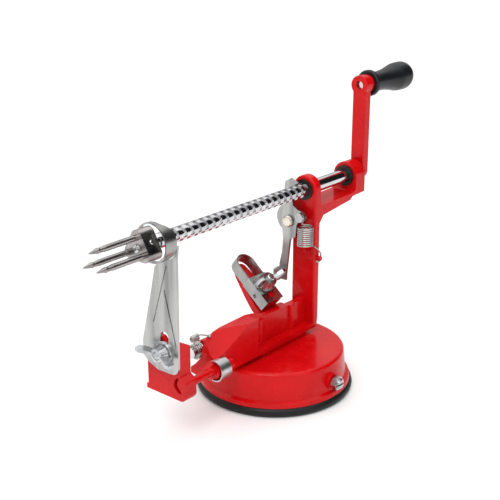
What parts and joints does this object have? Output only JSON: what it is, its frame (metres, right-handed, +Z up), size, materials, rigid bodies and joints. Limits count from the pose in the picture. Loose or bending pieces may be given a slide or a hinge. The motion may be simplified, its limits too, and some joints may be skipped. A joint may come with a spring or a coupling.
{
  "type": "apple peeler corer",
  "caption": "Hand-cranked apple peeler, corer and slicer: forked threaded rod in a cast frame, ring slicer, sprung thread latch and swinging peeling blade on a lever suction base.",
  "frame": {"origin": "centre of the suction pad's flat underside", "axes": "+Z up, +X along the drive rod from the fork towards the crank, +Y towards the side that carries the peeling arm"},
  "size_m": [0.2915, 0.1061, 0.1895],
  "materials": {
    "red_enamel": "glossy",
    "pad_rubber": "matte",
    "plated_steel": "polished",
    "sheet_steel": "satin",
    "spring_steel": "satin",
    "black_plastic": "satin",
    "grip_plastic": "matte",
    "golden_zinc": "satin",
    "axle_steel": "satin"
  },
  "bodies": {
    "frame": {"suction_pad": "pad_rubber", "base_dome": "red_enamel", "base_screws": "plated_steel", "frame_body": "red_enamel", "front_bushing": "black_plastic", "slicer_block": "red_enamel", "slicer_plate": "sheet_steel", "coring_ring": "sheet_steel", "slicer_bolt": "plated_steel", "slicer_washer": "plated_steel", "trunnion_clip": "spring_steel", "latch_pivot_rivet": "golden_zinc", "latch_spring": "spring_steel", "spring_anchor": "red_enamel", "peeler_pivot_pin": "plated_steel", "peeler_spring": "spring_steel"},
    "rod_turner": {"rear_bushing": "black_plastic"},
    "rod": {"drive_rod": "plated_steel", "fork_hub": "plated_steel", "fork_prongs": "plated_steel", "fork_cross_pin": "plated_steel", "crank_arm": "red_enamel", "handle_pin": "plated_steel"},
    "handle": {"handle_grip": "grip_plastic"},
    "latch": {"thread_latch": "sheet_steel", "latch_spring_pin": "plated_steel"},
    "peeler": {"peeler_arm": "red_enamel", "blade_bracket": "sheet_steel", "peeling_blade": "sheet_steel", "blade_bolt": "plated_steel", "blade_washer": "plated_steel"},
    "blade_nut": {"blade_wing_nut": "plated_steel"},
    "slicer_nut": {"slicer_wing_nut": "plated_steel"},
    "lever": {"suction_lever": "plated_steel", "lever_axle": "plated_steel", "axle_nut": "plated_steel"},
    "lift": {"lift_stirrup": "axle_steel"}
  },
  "joints": [
    {"name": "rod_spin", "type": "hinge", "parent": "frame", "child": "rod_turner", "pos_m": [0, 0, 0.1225], "axis": [1, 0, 0], "range_deg": [0, 6827.5]},
    {"name": "rod_feed", "type": "slide", "parent": "rod_turner", "child": "rod", "axis": [1, 0, 0], "range_m": [0, 0.11]},
    {"name": "handle_spin", "type": "hinge", "parent": "rod", "child": "handle", "pos_m": [0.12, 0, 0.18], "axis": [1, 0, 0], "continuous": true},
    {"name": "latch_swing", "type": "hinge", "parent": "frame", "child": "latch", "pos_m": [0.024, 0.0078, 0.1015], "axis": [1, 0, 0], "range_deg": [-8, 0], "stiffness_Nm_per_rad": 0.4, "springref_deg": 8.59, "deforming": ["latch_spring"]},
    {"name": "peeler_swing", "type": "hinge", "parent": "frame", "child": "peeler", "pos_m": [0, 0.01, 0.0405], "axis": [1, 0, 0], "range_deg": [-4, 12]},
    {"name": "blade_nut_turn", "type": "hinge", "parent": "peeler", "child": "blade_nut", "pos_m": [0.0037, 0.00883, 0.06587], "axis": [0, -0.6388, 0.7694], "range_deg": [0, 720]},
    {"name": "slicer_nut_turn", "type": "hinge", "parent": "frame", "child": "slicer_nut", "pos_m": [-0.1, 0.0014, 0.055], "axis": [-1, 0, 0], "range_deg": [0, 720]},
    {"name": "lever_turn", "type": "hinge", "parent": "frame", "child": "lever", "pos_m": [0, 0, 0.015], "axis": [0, -1, 0], "range_deg": [0, 150]},
    {"name": "lift_rise", "type": "slide", "parent": "frame", "child": "lift", "axis": [0, 0, 1], "range_m": [0, 0.00234]}
  ],
  "couplings": [
    {"joint": "rod_feed", "follows": "rod_spin", "m_per_rad": 0.0009231},
    {"joint": "lift_rise", "follows": "lever_turn", "m_per_rad": 0.00089}
  ]
}
